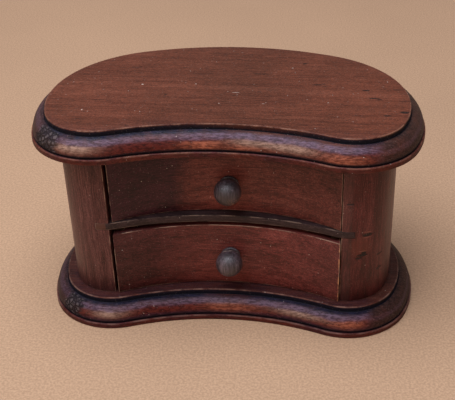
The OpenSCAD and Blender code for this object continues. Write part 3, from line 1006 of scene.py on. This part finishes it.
for which, d in DRAWERS.items():
    body = f"{which}_drawer"
    z1 = d["z0"] + d["h"]
    me = prism_mesh(f"{which}_front", front_plan(d["r"], d["y"]), d["z0"], z1, bevel=0.45, seg=2)
    me = cut(me, [groove_cutter(d["r"], d["y"], d["z0"]), rod_mesh((KNOB_X, d["kz"]), "y", 3.0, d["y"] - 8, d["y"] + 24)])
    finish_mesh(me, 30)
    g, tone, k = wood(f"{which}_front_wood", rough=0.44, contrast=1.2, mottle=0.35, specks=1.0, end_amount=0.6, **front_mats[which])
    # rubbed arris along the right edge of the lower front
    edge_r = g.span(k["px"], (DX1 - 1.1) * MM, (DX1 - 0.6) * MM)
    rubbed = g.math("MULTIPLY", edge_r, g.span(g.noise(k["shifted"], 130, 2, 0.6), 0.40, 0.55))
    if which == "lower":
        tone = g.mix(g.math("MULTIPLY", rubbed, 0.9), tone, (0.50, 0.24, 0.12))
    # the inside of the front is bare wood
    ny = g.xyz(g.co.outputs["Normal"])[1]
    inside = g.math("MULTIPLY", g.span(ny, 0.35, 0.75), g.span(g.math("ABSOLUTE", g.math("SUBTRACT", k["px"], (DX0 + DX1) / 2 * MM)), (DX1 - DX0) / 2 * MM - 0.0058, (DX1 - DX0) / 2 * MM - 0.0062))
    tone = g.mix(inside, tone, g.mix(k["fibre"], (0.20, 0.105, 0.058), (0.44, 0.285, 0.175)))
    m = close(g, tone, k)
    make(f"{which}_drawer_hollow_front", me, m, body, [f"{which}_drawer_front"])

    # knob
    prof = [(-10.0, 0.0), (-10.0, 2.6), (-9.6, 2.97), (0.0, 2.97), (0.0, 5.9), (0.25, 6.35), (0.7, 6.58), (1.3, 6.58), (1.8, 6.35), (2.1, 5.9), (2.2, 5.2), (2.25, 4.75), (2.6, 4.5)]
    a0 = math.degrees(math.acos(-(10.8 - 2.9) / 9.1))
    nn = 40
    for i in range(nn + 1):
        a = math.radians(a0 * (1 - i / nn))
        rr = 9.1 * math.sin(a)
        dd = 10.8 + 9.1 * math.cos(a)
        # fine tool rings
        ring = 0.045 * math.sin(i * 2.2) + 0.03 * math.sin(i * 3.7 + 1) - 0.05
        rr += ring * math.sin(a)
        dd += ring * math.cos(a)
        prof.append((dd, max(0.0, rr) if i < nn else 0.0))
    km = lathe(f"{which}_ball_knob", prof, (KNOB_X, d["y"], d["kz"]))
    seed = 1.0 if which == "upper" else 2.0
    # the knob's wood tones and turning rings are tinted blue-purple and the light tone raised: partly a painted bluish
    # sheen over dark wood
    g, tone, k = wood(
        f"{which}_knob_wood",
        axis="Z",
        dark=(0.012, 0.008, 0.010),
        mid=(0.034, 0.022, 0.029),
        light=(0.118, 0.084, 0.104),
        seed=11 + seed,
        rough=0.46,
        coat=0.15,
        coat_rough=0.35,
        end_amount=0.2,
        end=(0.050, 0.042, 0.046),
        specks=0.7,
        contrast=1.2,
        spec=0.75,
    )
    rings = g.noise(g.vmath("MULTIPLY", k["ob"], (1500, 300, 60)), 1, 2, 0.7)
    tone = g.mix(g.math("MULTIPLY", g.span(rings, 0.48, 0.66), 0.38), tone, (0.135, 0.100, 0.122))
    k["relief"] = g.math("MULTIPLY", rings, 1.2)
    if which == "upper":
        scuff = g.math("MULTIPLY", g.span(k["px"], (KNOB_X - 1.0) * MM, (KNOB_X + 4.0) * MM), g.span(k["pz"], (d["kz"] + 1) * MM, (d["kz"] - 4.0) * MM))
        scuff = g.math("MULTIPLY", scuff, g.span(g.noise(k["shifted"], 900, 2, 0.6), 0.48, 0.60))
        tone = g.mix(g.math("MULTIPLY", scuff, 0.7), tone, (0.28, 0.15, 0.11))
    else:  # a broken light ring on top, by the collar: a painted highlight of the collar's rim, partly worn finish
        du = g.math("DIVIDE", g.math("SUBTRACT", k["px"], (KNOB_X - 1.2) * MM), 3.2 * MM)
        dv = g.math("DIVIDE", g.math("SUBTRACT", k["py"], (d["y"] - 6.2) * MM), 2.2 * MM)
        rr_ = g.math("SQRT", g.math("ADD", g.math("MULTIPLY", du, du), g.math("MULTIPLY", dv, dv)))
        band = g.span(g.math("ABSOLUTE", g.math("SUBTRACT", rr_, 1.0)), 0.42, 0.22)
        band = g.math("MULTIPLY", band, g.span(k["pz"], (d["kz"] + 4.5) * MM, (d["kz"] + 5.5) * MM))
        band = g.math("MULTIPLY", band, g.span(g.noise(k["shifted"], 600, 2, 0.6), 0.40, 0.52))
        tone = g.mix(g.math("MULTIPLY", band, 0.85), tone, (0.46, 0.36, 0.31))
    make(f"{which}_ball_knob", km, close(g, tone, k), body, [f"{which}_knob"])

# ------------------------------------------------- carried-over CAD nodes
raw = simple_wood(
    "drawer_box_wood",
    dark=(0.20, 0.115, 0.065),
    mid=(0.33, 0.205, 0.120),
    light=(0.44, 0.295, 0.185),
    seed=14.0,
    rough=0.62,
    coat=0.0,
    specks=0.1,
    end=(0.22, 0.135, 0.080),
    contrast=1.2,
    bump=0.4,
    spec=0.35,
)
panel = simple_wood(
    "drawer_bottom_wood",
    axis="Y",
    dark=(0.24, 0.150, 0.085),
    mid=(0.37, 0.245, 0.150),
    light=(0.47, 0.330, 0.215),
    seed=17.0,
    rough=0.66,
    coat=0.0,
    specks=0.1,
    end=(0.22, 0.135, 0.080),
    contrast=1.3,
    bump=0.35,
    spec=0.3,
)
dowel = simple_wood(
    "dowel_wood",
    axis="Z",
    dark=(0.30, 0.19, 0.11),
    mid=(0.46, 0.32, 0.19),
    light=(0.58, 0.43, 0.28),
    seed=21.0,
    rough=0.6,
    coat=0.0,
    specks=0.0,
)


def screw_metal():
    g = Graph("screw_brass")
    ob = g.co.outputs["Object"]
    n = g.noise(ob, 420, 3, 0.6)
    g.put(g.p.inputs["Base Color"], g.ramp(n, [(0.3, (0.20, 0.13, 0.05)), (0.6, (0.52, 0.38, 0.16)), (0.8, (0.66, 0.52, 0.26))]))
    g.p.inputs["Metallic"].default_value = 1.0
    g.put(g.p.inputs["Roughness"], g.span(n, 0.3, 0.7, 0.55, 0.32))
    b = g.t.nodes.new("ShaderNodeBump")
    b.inputs["Strength"].default_value = 0.3
    b.inputs["Distance"].default_value = 0.0001
    g.put(b.inputs["Height"], g.noise(ob, 1500, 2, 0.6))
    g.put(g.p.inputs["Normal"], b.outputs[0])
    return g.m


brass = screw_metal()


def carry(node, mat, bevel=0.3):
    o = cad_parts[node]
    o.data.materials.clear()
    o.data.materials.append(mat)
    if bevel:
        w = o.modifiers.new("weld", "WELD")
        w.merge_threshold = 1e-6
        b = o.modifiers.new("arris", "BEVEL")
        b.width = bevel * MM
        b.segments = 2
        b.limit_method = "ANGLE"
        b.angle_limit = math.radians(40)
        b.harden_normals = False


for which in ("upper", "lower"):
    for part in ("left_side", "right_side", "back"):
        carry(f"{which}_drawer_{part}", raw)
    carry(f"{which}_drawer_bottom", panel, 0)
carry("top_dowels", dowel, 0)
carry("base_screws", brass, 0)

# -------------------------------------------------------------------- stage
bm = bmesh.new()
S = 3.0
vs = [bm.verts.new(p) for p in ((-S, -S, 0), (S, -S, 0), (S, S, 0), (-S, S, 0))]
bm.faces.new(vs)
fm = bpy.data.meshes.new("pale_floor")
bm.to_mesh(fm)
bm.free()
g = Graph("pale_floor")
ob = g.co.outputs["Object"]
n1 = g.noise(ob, 640, 3, 0.65)
n2 = g.noise(ob, 6, 3, 0.5)
c = g.mix(g.span(n1, 0.34, 0.66), (0.45, 0.284, 0.176), (0.585, 0.379, 0.240))
pit = g.math("MULTIPLY", g.span(g.noise(ob, 420, 2, 0.5), 0.70, 0.78), 0.35)
c = g.mix(pit, c, (0.22, 0.12, 0.07))
c = g.mix(0.25, c, g.ramp(n2, [(0.3, 0.85), (0.7, 1.1)]), "MULTIPLY")
g.put(g.p.inputs["Base Color"], c)
g.p.inputs["Roughness"].default_value = 0.85
g.p.inputs["Specular IOR Level"].default_value = 0.2
fm.materials.append(g.m)
floor = bpy.data.objects.new("pale_floor", fm)
bpy.context.scene.collection.objects.link(floor)


def area(name, at, to, size, power, colour):
    li = bpy.data.lights.new(name, "AREA")
    li.shape = "DISK"
    li.size = size
    li.energy = power
    li.color = colour
    o = bpy.data.objects.new(name, li)
    bpy.context.scene.collection.objects.link(o)
    o.location = at
    o.rotation_euler = (Vector(to) - Vector(at)).to_track_quat("-Z", "Y").to_euler()
    return o


area("overhead", (-0.30, -0.25, 1.45), (0, 0, 0.05), 1.5, 24, (0.91, 0.94, 1.0))
area("front_fill", (-0.7, -1.8, 0.9), (0, 0, 0.05), 1.2, 4, (1.0, 0.91, 0.82))

world = bpy.data.worlds.new("studio")
bpy.context.scene.world = world
world.use_nodes = True
wt = world.node_tree
wt.nodes.clear()
wo = wt.nodes.new("ShaderNodeOutputWorld")
bg = wt.nodes.new("ShaderNodeBackground")
tc = wt.nodes.new("ShaderNodeTexCoord")
sp = wt.nodes.new("ShaderNodeSeparateXYZ")
cr = wt.nodes.new("ShaderNodeValToRGB")
wt.links.new(tc.outputs["Generated"], sp.inputs[0])
mr = wt.nodes.new("ShaderNodeMapRange")
mr.inputs["From Min"].default_value = -0.05
mr.inputs["From Max"].default_value = 1.0
wt.links.new(sp.outputs[2], mr.inputs[0])
wt.links.new(mr.outputs[0], cr.inputs[0])
e = cr.color_ramp.elements
e[0].position, e[0].color = 0.0, (0.62, 0.43, 0.30, 1)
e[1].position, e[1].color = 1.0, (0.58, 0.64, 0.82, 1)
m_ = e.new(0.45)
m_.color = (0.50, 0.38, 0.31, 1)
wt.links.new(cr.outputs[0], bg.inputs[0])
bg.inputs[1].default_value = 0.62
wt.links.new(bg.outputs[0], wo.inputs[0])

sc = bpy.context.scene
sc.view_settings.view_transform = "Standard"
sc.view_settings.look = "None"
sc.view_settings.exposure = 0.0
sc.view_settings.gamma = 1.0

# ------------------------------------------------------------------- camera
yaw, pitch, roll = 0.07291, 0.56247, -0.00587
cam_at = Vector((0.07126, -0.57318, 0.42248))
fwd = Vector((-math.sin(yaw) * math.cos(pitch), math.cos(yaw) * math.cos(pitch), -math.sin(pitch)))
right = Vector((math.cos(yaw), math.sin(yaw), 0))
up = right.cross(fwd)
r2 = math.cos(roll) * right + math.sin(roll) * up
u2 = -math.sin(roll) * right + math.cos(roll) * up
cd = bpy.data.cameras.new("photo_view")
cd.sensor_fit = "HORIZONTAL"
cd.sensor_width = 36
cd.lens = 941.677 * 36 / 455
cd.shift_x = (227.5 - 275.0) / 455
cd.shift_y = 0.0
cd.clip_start = 0.02
cd.clip_end = 30
cam = bpy.data.objects.new("photo_view", cd)
sc.collection.objects.link(cam)
mat = Matrix.Identity(4)
for row in range(3):
    mat[row][0], mat[row][1], mat[row][2], mat[row][3] = r2[row], u2[row], -fwd[row], cam_at[row]
cam.matrix_world = mat
sc.camera = cam
